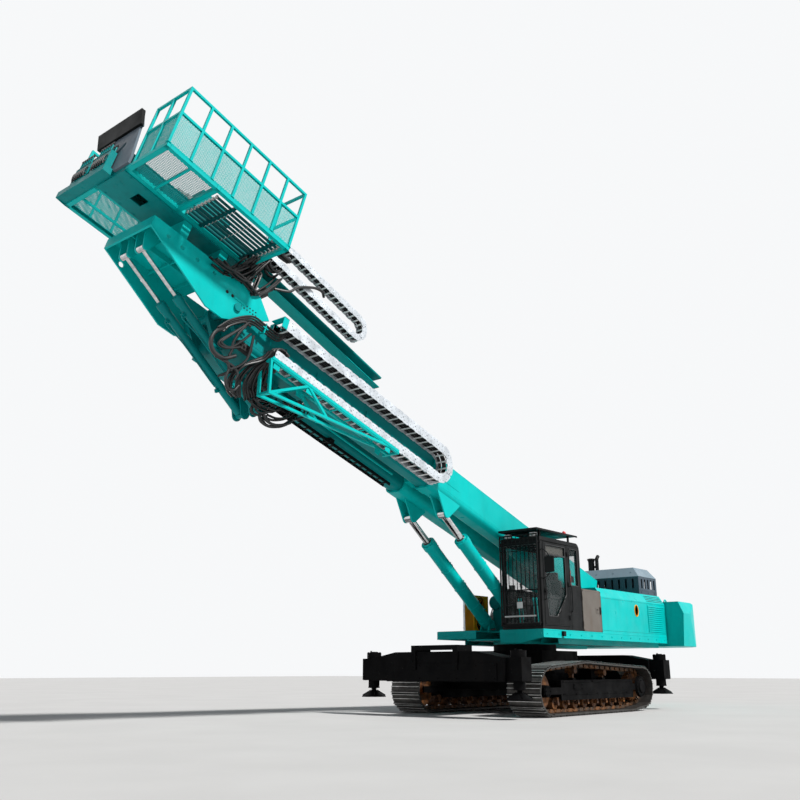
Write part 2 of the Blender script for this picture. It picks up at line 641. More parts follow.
# The feed rail leans a little against the booms, about its front end
RAIL_END = Vector((9.33, 0, 1.09))
RAIL = (BOOM @ Matrix.Translation(RAIL_END) @ Matrix.Rotation(radians(-4.6), 4, "Y")
        @ Matrix.Translation(-RAIL_END))
drag_chain("drag_chain", BOOM, (4.07, 8.64, -0.6575, -0.0325), (0.42, 0.72), 0.185, 53,
           [(0.47, 0.02, 0.028), (0.53, -0.015, 0.03), (0.595, 0.02, 0.028), (0.655, -0.01, 0.026),
            (0.565, 0.045, 0.018)], "boom_extension")
drag_chain("upper_chain", RAIL, (6.9, 9.33, 1.155, 1.575), (0.3, 0.49), 0.13, 40,
           [(0.345, 0.0, 0.022), (0.395, 0.01, 0.024), (0.445, -0.005, 0.022)], "head")

# The lower chain's brackets, and the guide tray with its edges on the truss
holder = Kit("chain_brackets", BOOM)
holder.box((8.44, 8.66), (0.32, 0.43), (-0.125, 0.055), 0.006)
holder.bolts((8.5, 8.6), 0.432, (-0.09, 0.02), LEFT, 0.012)
holder.box((8.46, 8.7), (0.335, 0.73), (-0.775, -0.757), 0.003)
holder.box((8.6, 8.72), (0.41, 0.74), (0.056, 0.075))
holder.box((8.6, 8.72), (0.722, 0.74), (-0.13, 0.075))
holder.done("boom_extension", "teal")
tray = Kit("chain_tray", BOOM)
tray.box((5.31, 8.69), (0.412, 0.42), (-0.775, -0.7), 0.002)
tray.box((5.31, 8.69), (0.72, 0.728), (-0.775, -0.715), 0.002)
for u in row(5.45, 0.38, 9):
    tray.box((u, u + 0.04), (0.41, 0.73), (-0.765, -0.753), 0.002)
for u, y in product((5.6, 7.75, 8.55), (0.442, 0.698)):
    tray.box(span(u, 0.07), span(y, 0.004), (-0.9, -0.79), 0.002)
tray.done("boom_extension", "teal")

# Booms, near and far: weld lines, the collar's bolts, wear-pad plates, straps and hard lines between them
BOOM_YS, COLLAR = (0.125, -0.595), row(3.63, 0.058, 4)
seams, ribs = Kit("boom_seams", BOOM), Kit("inner_ribs", BOOM)
for y in BOOM_YS:
    for s in BOTH:
        seams.box((-3.05, 3.58), (y + s * 0.2285, y + s * 0.233), (-0.03, -0.02), 0.001)
        seams.box((-2.55, 3.58), (y + s * 0.2285, y + s * 0.2325), (-0.555, -0.545), 0.001)
        seams.bolts(COLLAR[::3], y + s * 0.248, (-0.12, -0.3, -0.48), (0, s, 0), 0.013)
        seams.bolts(COLLAR, y + s * 0.12, 0.018, UP, 0.013)
        ribs.box((1.6, 9.08), (y + s * 0.2035, y + s * 0.2075), (-0.06, -0.05), 0.001)
        ribs.box((3.9, 9.08), (y + s * 0.2035, y + s * 0.2075), (-0.53, -0.52), 0.001)
    seams.box((2.9, 3.5), (y + 0.229, y + 0.236), (-0.4, -0.22), 0.003)
    seams.box((-1.4, -0.7), (y + 0.229, y + 0.236), (-0.42, -0.2), 0.003)
for u in (5.9, 7.3):
    ribs.box((u, u + 0.1), (0.329, 0.345), (-0.4, -0.16), 0.003)
seams.done("boom", "teal")
straps, pipes = Kit("boom_straps", BOOM), Kit("boom_pipes", BOOM)
for u in (-2.2, -1.2, -0.2, 0.8, 1.8, 2.8, 3.6):
    if u < 3:
        straps.box((u, u + 0.05), (-0.11, -0.36), (-0.06, -0.045), 0.002)
    pipes.box((u, u + 0.06), (-0.32, -0.15), (-0.122, -0.078), 0.003)
for y in row(-0.19, -0.05, 3):
    pipes.rod("x", (y, -0.1), (-2.6, 3.75), 0.014, sides=10)
straps.done("boom", "teal_deep")
pipes.done("boom", "steel")
ribs.done("boom_extension", "teal_deep")

# The bright bar between the booms, and the open ladder under the far one
bar = Kit("guide_bar", BOOM)
bar.box((4.3, 8.55), (-0.325, -0.285), (-0.585, -0.555))
for u in row(7.35, 0.5, 3):
    bar.box((u, u + 0.06), (-0.385, -0.285), (-0.6, -0.585), 0.003)
bar.done("boom_extension", "teal")
ladder = Kit("far_ladder", BOOM)
for y in (-0.53, -0.36):
    ladder.box((4.25, 8.55), span(y, 0.006), (-0.795, -0.73), 0.002)
for u in row(4.35, 0.178, 24):
    ladder.box((u, u + 0.03), (-0.528, -0.362), (-0.782, -0.758), 0.002)
for u in (6.0, 7.2, 8.3):
    ladder.box((u, u + 0.12), (-0.55, -0.34), (-0.745, -0.672))
ladder.done("boom_extension", "cab")


# Cylinders: each ram has a frame of its own, along its axis from its foot
def on_boom(u, y, v):
    return Vector((u * cos(LEAN) - v * sin(LEAN) + SHIFT, y, BOOM_Z + u * sin(LEAN) + v * cos(LEAN)))


def along_axis(a, b):
    return Matrix.Translation(a) @ (b - a).to_track_quat("X", "Z").to_matrix().to_4x4()


AXIS = (0, 0)
for side, y in (("near", 0.205), ("far", -0.675)):
    at = along_axis(Vector((0.45 + SHIFT, y, 1.87)), on_boom(3.12, y, -0.97))
    ram = Kit(f"lift_ram_{side}", at)
    ram.rod("x", AXIS, (2.6, 2.735), 0.158, sides=48)
    ram.rod("x", AXIS, (2.72, 2.765), 0.12, 0.105, 40)
    ram.rod("x", AXIS, (0.11, 0.2), 0.15, sides=48)
    ram.bolt_ring((2.735, 0, 0), AHEAD, 0.125, 8, 0.013)
    for u in (0.3, 2.45):
        ram.rod("z", (u, 0), (0.13, 0.185), 0.032, sides=16)
    ram.hose([(2.45, 0, 0.175), (2.38, 0, 0.18), (2.2, 0, 0.165), (1.5, 0, 0.165), (0.55, 0, 0.165),
              (0.4, 0.03, 0.17)], 0.014)
    for u in (0.7, 1.3, 1.9):
        ram.ring((u, 0, 0), AHEAD, 0.1435, 0.008, 48, 6)
        ram.box(span(u, 0.02), span(0, 0.03), (0.138, 0.185), 0.003)
    ram.done("lift_tubes", "teal")
    wiper = Kit(f"lift_wiper_{side}", at)
    wiper.rod("x", AXIS, (2.76, 2.78), 0.098, 0.086, 40)
    wiper.done("lift_tubes", "rubber")
for side, y in (("near", -0.02), ("far", -0.45)):
    ram = Kit(f"tilt_ram_{side}", along_axis(on_boom(8.15, y, -1.31), on_boom(11.15, y, -0.05)))
    ram.rod("x", AXIS, (2.2, 2.345), 0.084, sides=40)
    ram.rod("x", AXIS, (2.34, 2.375), 0.062, 0.05, 32)
    ram.bolt_ring((2.345, 0, 0), AHEAD, 0.068, 6, 0.01)
    for u in (0.62, 2.05):
        ram.box(span(u, 0.035), span(0, 0.03), (-0.125, -0.06))
        ram.rod("z", (u, 0), (-0.12, -0.15), 0.018, sides=12)
    ram.hose([(2.05, 0, -0.145), (1.95, 0, -0.15), (1.6, 0, -0.098), (0.9, 0, -0.098), (0.7, 0.02, -0.11)],
             0.011, sides=8)
    ram.done("tilt_tubes", "teal_deep")

# End plates of the pin at the booms' feet
FOOT = (-2.913, -0.636)
caps = Kit("foot_caps", BOOM)
for y, s in ((0.395, 1), (-0.865, -1)):
    caps.rod("y", FOOT, (y, y + 0.03 * s), 0.095, 0.088, 32)
    caps.bolt_ring((FOOT[0], y + 0.03 * s, FOOT[1]), (0, s, 0), 0.065, 6, 0.012)
caps.done("upper", "teal_deep")


# Platform: open mesh, posts' feet, floor frame
def mesh_sheet(kit, origin, along, across, length, height, rise=0.024 / 0.052, every=0.024, strand=0.0088):
    """Expanded-metal mesh: strands of three sides, in diamonds over a rectangle."""
    o, a, b = Vector(origin), Vector(along), Vector(across)
    n = a.cross(b)

    def lay(x0, y0, x1, y1):
        p, q = o + a * x0 + b * y0, o + a * x1 + b * y1
        if (q - p).length < 0.004:
            return
        side, deep = (q - p).normalized().cross(n) * strand / 2, n * strand / 2
        v = [kit.bm.verts.new(x) for x in (p - side, p + deep, p + side, q - side, q + deep, q + side)]
        for i, j in ((0, 1), (1, 2), (2, 0)):
            kit.bm.faces.new((v[i], v[j], v[j + 3], v[i + 3]))

    k = -int(length * rise / every) - 1
    while k * every < height:
        x0, y0 = max(0.0, -k * every / rise), max(0.0, k * every)
        x1, y1 = length, k * every + length * rise
        if y1 > height:
            x1, y1 = (height - k * every) / rise, height
        if x0 < length and x1 > x0:
            lay(x0, y0, x1, y1)
            lay(length - x0, y0, length - x1, y1)
        k += 1


PU, PY, FV, MID = (9.4, 12.0), (-1.52, 1.25), (0.78, 0.86), 1.5
TUBE, GATE, DECK = 0.042, 0.38, FV[1]
RU, RY = (PU[0] + TUBE / 2, PU[1] - TUBE / 2), (PY[0] + TUBE / 2, PY[1] - TUBE / 2)
BAY = (RU[1] - RU[0]) / 6
netting, kick = Kit("rail_mesh", BOOM), Kit("kick_plates", BOOM)
for y, s in zip(RY, (-1, 1)):
    for u in row(RU[0] + 0.01, BAY, 6):
        mesh_sheet(netting, (u, y, DECK + 0.004), AHEAD, UP, BAY - 0.02, MID - DECK - 0.02)
    kick.box(PU, span(y, 0.003), (DECK, DECK + 0.035), 0.001)
    for u in row(RU[0], BAY, 7):
        kick.box(span(u, 0.034), span(y, 0.034), (DECK - 0.001, DECK + 0.01), 0.003)
        kick.bolts(span(u, 0.026), y - s * 0.026, DECK + 0.01, UP, 0.006, 0.006, False)
half = (RY[1] - GATE) / 2
for low in (GATE, GATE + half):
    mesh_sheet(netting, (RU[1], low + 0.01, DECK + 0.004), LEFT, UP, half - 0.02, MID - DECK - 0.02)
kick.box(span(RU[1], 0.003), (GATE, RY[1]), (DECK, DECK + 0.035), 0.001)
netting.done("head", "teal", replaces=("platform_mesh",))
kick.done("head", "teal")

FLANGES, MAST_YS = ((DECK - 0.008, DECK), (FV[0], FV[0] + 0.008)), (-0.56, 0.2)
base = Kit("floor_beams", BOOM)
for y, s in zip(PY, BOTH):
    base.box(PU, (y, y + s * 0.01), FV, 0.003)
    for v in FLANGES:
        base.box(PU, (y, y + s * 0.07), v, 0.002)
for y in (MAST_YS[0] - 0.08, MAST_YS[1]):
    for web in ((y, y + 0.01), (y + 0.07, y + 0.08)):
        base.box(PU, web, FV, 0.003)
    for v in FLANGES:
        base.box(PU, (y, y + 0.08), v, 0.002)
for between in ((PY[0], MAST_YS[0]), (MAST_YS[1], PY[1])):
    for u in (PU[0], 10.93, PU[1] - 0.08):
        for web in ((u, u + 0.01), (u + 0.07, u + 0.08)):
            base.box(web, between, FV, 0.003)
        for v in FLANGES:
            base.box((u, u + 0.08), between, v, 0.002)
INNER = (FV[0] + 0.02, DECK - 0.02)
for u in (10.0, 10.45):
    base.box((u, u + 0.04), (PY[0] + 0.02, MAST_YS[0] - 0.02), INNER, 0.002)
base.box((PU[0] + 0.02, PU[1] - 0.02), (-1.13, -1.09), INNER, 0.002)
base.box((11.45, 11.49), (MAST_YS[1] + 0.06, PY[1] - 0.02), INNER, 0.002)
base.done("head", "teal", replaces=("platform_floor",))
grate = Kit("floor_mesh", BOOM)
for u, low, long, high in ((PU[0] + 0.02, PY[0], PU[1] - PU[0] - 0.04, MAST_YS[0]),
                           (10.95, MAST_YS[1], 1.0, PY[1])):
    mesh_sheet(grate, (u, low + 0.02, DECK - 0.018), AHEAD, LEFT, long, high - low - 0.04,
               0.03 / 0.07, 0.03, 0.0085)
grate.done("head", "teal_deep")

# Mast: flanges and rack, and the feed rail's edges
mast = Kit("mast_trim", BOOM)
for y in ((-0.575, -0.545), (0.185, 0.215)):
    mast.box((9.42, 11.98), y, (1.118, 1.14), 0.003)
mast.box((9.42, 11.9), (-0.205, -0.155), (1.131, 1.15), 0.002)
for u in row(9.46, 0.04, 60):
    mast.box((u, u + 0.02), (-0.2, -0.16), (1.149, 1.162), 0.002)
mast.bolts(row(9.6, 0.28, 9), (-0.53, 0.17), 0.758, DOWN, 0.013)
mast.done("head", "teal_deep")
rail = Kit("feed_rail_trim", RAIL)
for v in ((1.086, 1.096), (0.864, 0.874)):
    rail.box((5.69, 9.39), (-0.062, 0.208), v, 0.002)
rail.done("head", "teal")

# Head channel: pin's plates, stiffeners, and rows of small holes shown by dark discs
chan = Kit("channel_trim", BOOM)
for y, s in ((0.4, 1), (-0.87, -1)):
    chan.rod("y", (9.45, -0.15), (y, y + 0.006 * s), 0.085, 0.083, 36)
    chan.box((9.33, 9.57), (y, y + 0.012 * s), (-0.03, 0.01), 0.003)
for u in (10.0, 10.5, 11.0):
    chan.box((u, u + 0.02), (-0.84, 0.37), (0.18, 0.275), 0.003)
chan.box((9.8, 11.33), (-0.245, -0.225), (0.17, 0.275), 0.003)
chan.done("head", "teal")
plug = Kit("channel_holes", BOOM)
for tier in (0, 1):
    for k in range(7):
        at = (9.47 - 0.066 * k - 0.02 * tier, -0.012 + 0.003 * k - 0.062 * tier)
        plug.rod("y", at, (0.3995, 0.4015), 0.015, sides=14)
for u in (9.6, 9.72):
    plug.rod("y", (u, -0.014), (0.3995, 0.4015), 0.03, sides=24)
plug.done("head", "cab")

# Levers in two banks: boots, knobs, ports and short hoses
knobs, stems, feeds = Kit("lever_knobs", BOOM), Kit("lever_stems", BOOM), Kit("lever_hoses", BOOM)
KNOB = 1.45
for bank in (-0.98, -0.42):
    stems.box((12.075, 12.175), span(bank, 0.215), (1.255, 1.262), 0.002)
    for y in row(bank - 0.1625, 0.065, 6):
        for u in (12.0875, 12.1525):
            stems.rod("z", (u, y), (1.26, 1.275), 0.026, 0.018, 14)
            knobs.rod("z", (u, y), (KNOB - 0.055, KNOB - 0.02), 0.012, 0.022, 14)
            knobs.rod("z", (u, y), (KNOB - 0.02, KNOB + 0.012), 0.022, 0.013, 14)
        for v in (1.16, 1.03):
            stems.rod("x", (y, v), (12.165, 12.185), 0.017, sides=12)
        feeds.hose([(12.18, y, 1.16), (12.2, y + 0.005, 1.1), (12.2, y + 0.01, 1.02),
                    (12.185, y + 0.015, 0.965)], 0.013, sides=8, steps=5)
knobs.done("head", "rubber")
stems.done("head", "iron")
feeds.done("head", "rubber")

# Console: visor and dials; rod rack: end caps and hooks
desk = Kit("console_visor", BOOM)
desk.plate([(12.02, 1.735), (12.08, 1.735), (12.165, 1.998), (12.09, 2.004)], (-1.045, 0.195), "y", 0.004)
desk.done("head", "cab")
dials = Kit("console_dials", BOOM)
for y in row(-0.78, 0.165, 5):
    dials.rod("x", (y, 1.62), (11.992, 12.005), 0.042, sides=24)
for y in row(-0.68, 0.1, 8):
    dials.rod("x", (y, 1.5), (11.985, 12.005), 0.012, sides=12)
dials.done("head", "iron")
rack = Kit("rack_trim", BOOM)
for y in row(0.32, 0.0925, 9):
    for u in (9.515, 10.84):
        rack.rod("x", (y, 0.82), (u, u + 0.025), 0.034, sides=16)
    for u in (10.12, 10.48):
        rack.ring((u, y, 0.82), AHEAD, 0.027, 0.005, 16, 6)
rack.done("head", "steel")

# Drill head: motors' necks, cover, side plates with their bolts
drill = Kit("drill_trim", BOOM)
DRILL_Y = -0.18
for s in BOTH:
    drill.rod("x", (DRILL_Y + s * 0.11, 1.5), (9.86, 9.9), 0.06, 0.075, 28)
    drill.bolts((10.08, 10.52), DRILL_Y + s * 0.1, 1.72, UP)
    drill.box((10.0, 10.6), (DRILL_Y + s * 0.188, DRILL_Y + s * 0.205), (1.3, 1.62))
    drill.bolts((10.05, 10.2, 10.4, 10.55), DRILL_Y + s * 0.205, (1.34, 1.58), (0, s, 0), 0.013)
drill.box((10.05, 10.55), span(DRILL_Y, 0.13), (1.69, 1.72), 0.006)
drill.done("drill_carriage", "teal_deep")

# Cab: grille of thin bars, visor, lamps, beacon
GRILLE_X, CAB_YS = 1.53, (0.425, 1.345)
grille = Kit("cab_grille")
for y in CAB_YS:
    grille.box(span(GRILLE_X, 0.015), span(y, 0.015), (1.752, 3.648), 0.006)
    for z in (1.81, 3.47):
        grille.box((1.45, GRILLE_X), span(y, 0.012), span(z, 0.012), 0.003)
        grille.box((1.45, 1.458), span(y, 0.035), span(z, 0.035), 0.003)
        grille.bolts(1.458, y, span(z, 0.024), AHEAD, 0.007, 0.006, False)
for z in (1.765, 2.48, 3.635):
    grille.box(span(GRILLE_X, 0.013), CAB_YS, span(z, 0.013), 0.005)
for y in row(CAB_YS[0], (CAB_YS[1] - CAB_YS[0]) / 9, 9)[1:]:
    grille.rod("z", (GRILLE_X, y), (1.765, 3.635), 0.0085, sides=12)
for z in (2.16, 3.3, 3.38, 3.46, 3.54):
    grille.rod("y", (GRILLE_X + 0.008, z), CAB_YS, 0.0075, sides=12)
for x, y in product((0.02, 1.25), (0.52, 1.25)):
    grille.box(span(x, 0.02), span(y, 0.02), (3.59, 3.74))
    grille.box(span(x, 0.045), span(y, 0.045), (3.59, 3.6), 0.003)
grille.box((-0.18, 1.56), (0.41, 1.38), (3.74, 3.764), 0.006)
for y in ((0.41, 0.416), (1.374, 1.38)):
    grille.box((-0.18, 1.56), y, (3.722, 3.745), 0.002)
grille.box((1.554, 1.56), (0.41, 1.38), (3.715, 3.745), 0.002)
grille.done("upper", "cab", replaces=("cab_guard",))

lamps, lens = Kit("lamp_housings"), Kit("lamp_lenses")
for y in (0.57, 1.2):
    lamps.box((1.352, 1.452), span(y, 0.072), (3.603, 3.688), 0.012)
    lamps.box((1.38, 1.42), span(y, 0.08), (3.63, 3.66), 0.003)
    lamps.box((1.395, 1.405), span(y, 0.012), (3.59, 3.61), 0.002)
    lens.box((1.45, 1.466), span(y, 0.066), (3.609, 3.682), 0.006)
    for fluted in row(y - 0.052, 0.026, 5):
        lens.box((1.465, 1.469), span(fluted, 0.008), (3.613, 3.678), 0.001)
lamps.done("upper", "white", replaces=("cab_lamps",))
lens.done("upper", "lamp")

dome, foot = Kit("beacon_dome"), Kit("beacon_foot")
BEACON, ROOF = (-0.11, 1.085), 3.7645
for kit, low, high, r, r2 in ((foot, 0, 0.014, 0.06, None), (foot, 0.012, 0.03, 0.052, 0.05),
                              (dome, 0.028, 0.095, 0.0475, 0.044), (dome, 0.095, 0.118, 0.044, 0.033),
                              (dome, 0.118, 0.13, 0.033, 0.012)):
    kit.rod("z", BEACON, (ROOF + low, ROOF + high), r, r2, 36)
for k in range(5):
    dome.ring((*BEACON, ROOF + 0.04 + 0.012 * k), UP, 0.0468 - 0.0006 * k, 0.0022, 36, 6)
dome.done("upper", "beacon", replaces=("beacon",))
foot.done("upper", "cab")

# Cab's sides: gutters, grab rails, seams, bolts; wiper on the front pane; seals
skin = Kit("cab_trim")
for y in ((1.368, 1.384), (0.386, 0.402)):
    skin.box((-0.19, 1.4), y, (3.505, 3.519), 0.003)
for x, low, middle, high in ((1.36, 2.28, 2.5, 2.72), (0.27, 2.08, 2.35, 2.62)):
    skin.hose([(x, 1.372, low), (x, 1.42, low + 0.02), (x, 1.425, middle), (x, 1.42, high - 0.02),
               (x, 1.372, high)], 0.01)
for x in (-0.235, 0.245, 1.355):
    skin.box(span(x, 0.003), (1.369, 1.3735), (1.72, 3.44), 0.001)
for z in (2.563, 2.053):
    skin.box((-0.235, 0.245), (1.369, 1.3735), span(z, 0.003), 0.001)
skin.bolts((-0.2, 0.21), 1.37, (1.78, 2.0, 2.11, 2.5), LEFT, 0.008, 0.006, False)
skin.box((1.449, 1.462), (0.44, 1.33), (1.69, 1.8))
skin.beam((1.462, 0.98, 1.82), (1.474, 0.86, 2.62), 0.01, 0.012)
skin.beam((1.47, 0.86, 2.18), (1.47, 0.86, 3.02), 0.016, 0.01)
skin.rod("x", (0.98, 1.79), (1.455, 1.485), 0.022, sides=16)
skin.done("upper", "cab")
seal = Kit("cab_seals")
seal.frame((1.449, 1.456), (0.455, 1.315), (1.805, 3.445), 0.015, 0.002)
seal.frame((-0.127, 0.232), (1.369, 1.376), (2.635, 3.445), 0.017, 0.002)
seal.done("upper", "rubber")

# Cab door: seal round its pane, latch, grab rail, bolts, blind; then the mirror on its arms and plain plates
window = [(0.425, 2.42), (0.425, 3.44), (1.225, 3.44), (1.28, 2.5), (1.195, 1.955), (0.845, 1.955)]
leaf = Kit("door_seal")
for a, b in zip(window, window[1:] + window[:1]):
    leaf.beam((a[0], 1.3735, a[1]), (b[0], 1.3735, b[1]), 0.008, 0.02, 0.002, (b[1] - a[1], 0, a[0] - b[0]))
leaf.box((0.425, 1.235), (1.37, 1.377), (3.219, 3.251), 0.003)
leaf.done("cab_door_leaf", "rubber")
latch = Kit("door_latch")
latch.rod("y", (1.31, 2.45), (1.372, 1.404), 0.024, 0.02, 24)
latch.box((1.235, 1.325), (1.37, 1.384), (2.375, 2.52), 0.005)
latch.beam((1.27, 1.402, 2.4), (1.27, 1.402, 2.51), 0.014, 0.02, 0.004)
latch.hose([(0.79, 1.374, 2.02), (0.76, 1.41, 2.06), (0.66, 1.415, 2.2), (0.56, 1.41, 2.33),
            (0.52, 1.374, 2.36)], 0.01)
latch.box((0.36, 0.8), (1.371, 1.3755), (1.8, 1.93), 0.002)
latch.bolts((0.355, 1.315), 1.372, (1.8, 2.1, 3.1, 3.46), LEFT, 0.007, 0.005, False)
latch.done("cab_door_leaf", "cab")
blind = Kit("door_blind")
blind.box((0.44, 1.215), (1.336, 1.339), (3.262, 3.425), 0.001)
blind.done("cab_door_leaf", "box_grey")
arm, glassy = Kit("mirror"), Kit("mirror_glass")
arm.box((1.465, 1.5), (1.485, 1.715), (2.815, 3.145), 0.014)
for z in ((3.3, 3.31, 3.22, 3.13), (2.72, 2.7, 2.76, 2.83)):
    arm.hose([(1.44, 1.37, z[0]), (1.46, 1.44, z[1]), (1.48, 1.56, z[2]), (1.483, 1.6, z[3])], 0.01)
glassy.box((1.46, 1.466), (1.5, 1.7), (2.83, 3.13), 0.001)
arm.done("upper", "cab")
glassy.done("upper", "mirror")
sign = Kit("cab_plates")
sign.box((1.538, 1.542), (0.5, 1.27), (1.935, 1.965), 0.001)
sign.box((1.548, 1.552), (0.82, 0.96), (2.11, 2.24), 0.002)
sign.done("upper", "white")

# Inside the cab: levers on their consoles, pedals, screen, padded seat with its bellows, extinguisher
inner = Kit("cab_controls")
for y in (0.535, 1.235):
    inner.box((0.6, 0.99), span(y, 0.058), (2.375, 2.4), 0.01)
    inner.rod("z", (0.88, y), (2.38, 2.47), 0.04, 0.02)
    inner.bar((0.88, y, 2.45), (0.9, y, 2.62), 0.01, sides=12)
    inner.bar((0.9, y, 2.58), (0.91, y, 2.7), 0.026, 0.022, 16)
for y in (0.8, 0.97):
    inner.beam((1.1, y, 1.735), (1.22, y, 1.9), 0.09, 0.02, 0.004)
    inner.rod("z", (1.16, y), (1.8, 2.4), 0.01, sides=12)
inner.box((1.24, 1.31), (0.48, 0.6), (2.35, 2.62), 0.01)
inner.done("upper", "seat")
chair = Kit("seat_pads")
SEAT_Y, BACK_LEAN = 0.885, -0.115
chair.cushion((0.47, SEAT_Y, 2.145), (0.29, 0.258, 0.066))
chair.cushion((0.212, SEAT_Y, 2.5), (0.058, 0.236, 0.29), BACK_LEAN)
chair.cushion((0.175, SEAT_Y, 2.862), (0.046, 0.15, 0.09), BACK_LEAN)
for s in BOTH:
    chair.cushion((0.47, SEAT_Y + s * 0.205, 2.168), (0.28, 0.05, 0.052))
    chair.cushion((0.235, SEAT_Y + s * 0.205, 2.48), (0.055, 0.036, 0.25), BACK_LEAN)
    chair.cushion((0.71, SEAT_Y + s * 0.35, 2.35), (0.288, 0.054, 0.03))
    chair.box((0.425, 0.995), span(SEAT_Y + s * 0.35, 0.05), (1.732, 2.325), 0.02)
chair.box((0.205, 0.715), span(SEAT_Y, 0.235), (1.732, 2.078), 0.03)
for z in row(1.8, 0.05, 5):
    chair.ring((0.46, SEAT_Y, z), UP, 0.18, 0.012)
chair.done("upper", "seat", replaces=("cab_seat",))
pedals = Kit("cab_levers")
for y in (0.66, 0.74, 1.03, 1.11):
    pedals.bar((1.18, y, 1.74), (1.24, y, 2.3), 0.013, sides=12)
    pedals.bar((1.24, y, 2.28), (1.245, y, 2.34), 0.022, 0.018, 14)
pedals.box((1.14, 1.3), (0.6, 1.17), (1.736, 1.765), 0.005)
pedals.done("upper", "teal")
BOTTLE = (0.04, 1.22)
bottle, hold = Kit("extinguisher"), Kit("extinguisher_clamp")
for ends, r, r2 in (((2.62, 2.98), 0.062, None), ((2.98, 3.03), 0.062, 0.025), ((2.6, 2.62), 0.055, 0.062)):
    bottle.rod("z", BOTTLE, ends, r, r2, 28)
bottle.done("upper", "red")
for z in (2.72, 2.9):
    hold.ring((*BOTTLE, z), UP, 0.062, 0.006, 28, 6)
hold.rod("z", BOTTLE, (3.02, 3.08), 0.014, sides=12)
hold.box((0.0, 0.09), (1.21, 1.23), (3.06, 3.085), 0.003)
hold.box((-0.2, -0.02), (1.21, 1.23), (2.74, 2.88))
hold.done("upper", "cab")

# Tool box: folded rims, vents, handle and lock on the door
chest = Kit("toolbox_trim")
chest.box((-1.128, -0.262), (0.612, 1.349), (2.597, 2.609))
chest.box((-1.134, -1.122), (0.615, 1.345), (1.7, 2.6), 0.003)
for x in row(-1.02, 0.085, 8):
    chest.box((x, x + 0.035), (0.7, 1.1), (2.606, 2.613), 0.002)
chest.done("upper", "box_grey")
door = Kit("tool_door_trim")
door.frame((-1.118, -0.272), (1.3735, 1.3765), (1.702, 2.588), 0.028, 0.001)
door.box((-1.07, -1.04), (1.374, 1.404), (2.08, 2.24), 0.006)
door.box((-0.985, -0.865), (1.373, 1.381), (2.1, 2.22), 0.005)
door.hose([(-0.955, 1.38, 2.19), (-0.95, 1.402, 2.19), (-0.925, 1.406, 2.19), (-0.9, 1.402, 2.19),
           (-0.895, 1.38, 2.19)], 0.007, sides=8)
door.rod("y", (-0.925, 2.135), (1.379, 1.386), 0.014, sides=16)
door.done("tool_door_leaf", "box_grey")

# Hood: oval's orange rim, louvre blades, slits in the slope, seams, lifting eyes, filler
rim = Kit("port_rim")
turns = [2 * pi * k / 32 for k in range(33)]
rim.hose([(-2.95 + 0.1 * cos(t), 1.372, 2.257 + 0.132 * sin(t)) for t in turns], 0.0125, steps=2)
rim.done("upper", "orange")
blades, slits = Kit("hood_louvres"), Kit("hood_slits")
HOOD_SKIN = (1.368, 1.3712)
for s in BOTH:
    for z in row(1.796, 0.05, 13):
        blades.beam((-4.555, s * 1.378, z), (-3.595, s * 1.378, z), 0.004, 0.026, 0.001, (0, s * 0.45, -1))
    for x in (-4.56, -3.59):
        blades.box(span(x, 0.004), (s * 1.369, s * 1.384), (1.77, 2.41), 0.001)
    for t in row(0.16, 0.2, 4):
        y, z = s * (1.372 - 0.13 * t), 2.491 + 0.21 * t
        slits.beam((-4.55, y, z), (-3.6, y, z), 0.004, 0.014, 0.0005, (0, -0.13 * s, 0.21))
    skin_y = [s * y for y in HOOD_SKIN]
    slits.box(span(-3.56, 0.0025), skin_y, (1.74, 2.46), 0.0005)
    for z in (2.461, 1.74):
        slits.box((-4.58, -1.18), skin_y, span(z, 0.002), 0.0005)
for y in (-1.1, 1.0):
    slits.box((-3.3, -1.2), span(y, 0.002), (2.6985, 2.7012), 0.0005)
blades.done("upper", "teal")
slits.done("upper", "cab")
top = Kit("hood_top")
for x, y in product((-1.35, -3.15), (-1.02, 0.75)):
    top.hose([(x - 0.05, y, 2.698), (x - 0.045, y, 2.745), (x, y, 2.765), (x + 0.045, y, 2.745),
              (x + 0.05, y, 2.698)], 0.01)
top.box((-2.8, -2.1), (0.62, 1.08), (2.699, 2.709))
top.box((-2.76, -2.14), (0.66, 1.04), (2.708, 2.716))
top.rod("z", (-1.62, 0.86), (2.7, 2.745), 0.055, 0.05, 28)
top.box((-1.3, -1.156), (-1.34, 1.34), (1.692, 1.712), 0.003)
top.done("upper", "teal")

# Engine cover: pale roof and slopes, seams and bolts; exhaust's flange and clamps; air cleaner's bands
roof = Kit("cover_roof")
FOLDS = [(-1.206, 3.146), (-0.972, 3.396), (0.972, 3.396), (1.206, 3.146), (1.196, 3.146), (0.968, 3.388),
         (-0.968, 3.388), (-1.196, 3.146)]
roof.plate(FOLDS, (-4.606, -3.79), "x")
roof.box((-4.606, -3.79), span(0, 0.97), (3.389, 3.3955), 0.001)
roof.sheet(((-3.79, -0.97, 3.3955), (-3.79, 0.97, 3.3955), (-3.556, 1.204, 3.15), (-3.556, -1.204, 3.15)),
           (-0.004, 0, -0.006))
for s in BOTH:
    roof.sheet(((-3.79, s * 0.97, 3.3955), (-3.79, s * 1.206, 3.15), (-3.556, s * 1.206, 3.15)),
               (-0.003, -s * 0.003, -0.004))
roof.bolts(-3.66, row(-0.96, 0.48, 5), 3.268, (0.72, 0, 0.69), 0.012)
roof.done("upper", "slate_light")
cover = Kit("cover_trim")
cover.box((-4.604, -3.556), span(0, 1.204), (2.702, 2.722))
cover.box((-3.562, -3.555), span(0, 1.2), (2.795, 2.803), 0.001)
for s in BOTH:
    cover.box((-4.6, -3.56), (s * 1.198, s * 1.205), (2.795, 2.803), 0.001)
    cover.bolts((-3.7, -4.08, -4.46), s * 1.202, 2.76, (0, s, 0), 0.012)
